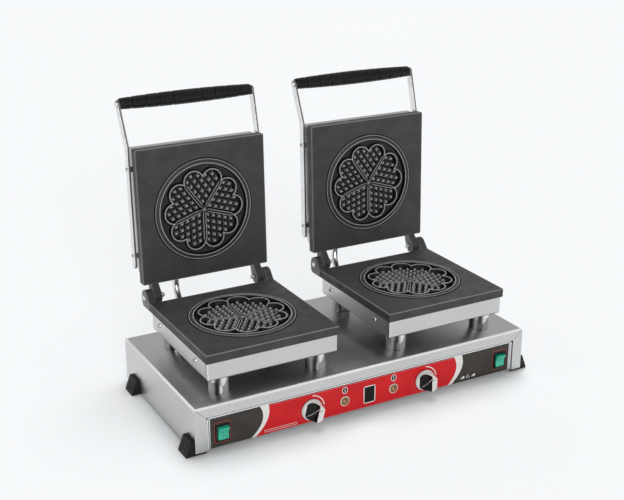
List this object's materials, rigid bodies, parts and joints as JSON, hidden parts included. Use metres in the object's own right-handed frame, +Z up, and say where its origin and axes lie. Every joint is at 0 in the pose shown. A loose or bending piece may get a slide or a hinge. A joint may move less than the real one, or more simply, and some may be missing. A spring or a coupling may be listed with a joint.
{
  "type": "double waffle maker",
  "caption": "Double table-top waffle maker with two hinged pairs of square cast heart-waffle plates, handles, and a steel base with a red control panel",
  "frame": {"origin": "middle of the outer box at table height, with both lids open", "axes": "+X to the right seen from the front, +Y to the back, +Z up"},
  "size_m": [0.671, 0.3826, 0.5017],
  "materials": {
    "brushed_steel": "brushed stainless sheet",
    "polished_steel": "polished stainless",
    "cast_iron": "blasted cast iron, fine speckle",
    "black_plastic": "moulded, satin",
    "panel_print": "printed overlay, satin, red with charcoal ends",
    "knob_plastic": "silver moulding",
    "green_rocker": "translucent green",
    "amber_lens": "translucent amber with a pale collar",
    "ceramic": "glazed ceramic",
    "switch_body": "moulded",
    "element_sheath": "oxidised steel sheath"
  },
  "bodies": {
    "base": {"base_housing": "brushed_steel", "base_floor": "brushed_steel", "control_panel": "brushed_steel", "panel_overlay": "panel_print", "mains_cable_gland": "black_plastic", "terminal_block": "ceramic", "foot_front_left": "black_plastic", "foot_rear_left": "black_plastic", "thermostat_left": "switch_body", "rocker_frame_left": "black_plastic", "lamp_left": "amber_lens", "foot_front_right": "black_plastic", "foot_rear_right": "black_plastic", "thermostat_right": "switch_body", "rocker_frame_right": "black_plastic", "lamp_right": "amber_lens", "left_lower_tray": "brushed_steel", "left_lower_plate": "cast_iron", "left_lower_element": "element_sheath", "left_post_front_left": "polished_steel", "left_post_front_right": "polished_steel", "left_post_rear_left": "polished_steel", "left_post_rear_right": "polished_steel", "left_hinge_pin_left": "polished_steel", "left_hinge_pin_right": "polished_steel", "left_conduit_gland_base": "black_plastic", "left_conduit": "polished_steel", "right_lower_tray": "brushed_steel", "right_lower_plate": "cast_iron", "right_lower_element": "element_sheath", "right_post_front_left": "polished_steel", "right_post_front_right": "polished_steel", "right_post_rear_left": "polished_steel", "right_post_rear_right": "polished_steel", "right_hinge_pin_left": "polished_steel", "right_hinge_pin_right": "polished_steel", "right_conduit_gland_base": "black_plastic", "right_conduit": "polished_steel"},
    "left_lid": {"left_upper_plate": "cast_iron", "left_upper_cover": "brushed_steel", "left_upper_element": "element_sheath", "left_handle_arm_left": "polished_steel", "left_handle_arm_right": "polished_steel", "left_handle_rod": "polished_steel", "left_handle_grip": "black_plastic", "left_conduit_gland_lid": "black_plastic"},
    "right_lid": {"right_upper_plate": "cast_iron", "right_upper_cover": "brushed_steel", "right_upper_element": "element_sheath", "right_handle_arm_left": "polished_steel", "right_handle_arm_right": "polished_steel", "right_handle_rod": "polished_steel", "right_handle_grip": "black_plastic", "right_conduit_gland_lid": "black_plastic"},
    "knob_left_body": {"knob_left": "knob_plastic", "thermostat_shaft_left": "polished_steel"},
    "knob_right_body": {"knob_right": "knob_plastic", "thermostat_shaft_right": "polished_steel"},
    "rocker_left_body": {"rocker_left": "green_rocker"},
    "rocker_right_body": {"rocker_right": "green_rocker"}
  },
  "joints": [
    {"name": "left_lid_hinge", "type": "hinge", "parent": "base", "child": "left_lid", "pos_m": [-0.168, 0.11046, 0.161], "axis": [1, 0, 0], "range_deg": [0, 92], "deforming": ["left_conduit"]},
    {"name": "right_lid_hinge", "type": "hinge", "parent": "base", "child": "right_lid", "pos_m": [0.168, 0.11046, 0.161], "axis": [1, 0, 0], "range_deg": [0, 92], "deforming": ["right_conduit"]},
    {"name": "knob_left_turn", "type": "hinge", "parent": "base", "child": "knob_left_body", "pos_m": [-0.1115, -0.16934, 0.0295], "axis": [0, 1, 0], "range_deg": [-14, 256]},
    {"name": "knob_right_turn", "type": "hinge", "parent": "base", "child": "knob_right_body", "pos_m": [0.1115, -0.16934, 0.0295], "axis": [0, 1, 0], "range_deg": [0, 270]},
    {"name": "rocker_left_tilt", "type": "hinge", "parent": "base", "child": "rocker_left_body", "pos_m": [-0.272, -0.16604, 0.03], "axis": [1, 0, 0], "range_deg": [-22, 0]},
    {"name": "rocker_right_tilt", "type": "hinge", "parent": "base", "child": "rocker_right_body", "pos_m": [0.272, -0.16604, 0.03], "axis": [1, 0, 0], "range_deg": [-22, 0]}
  ]
}
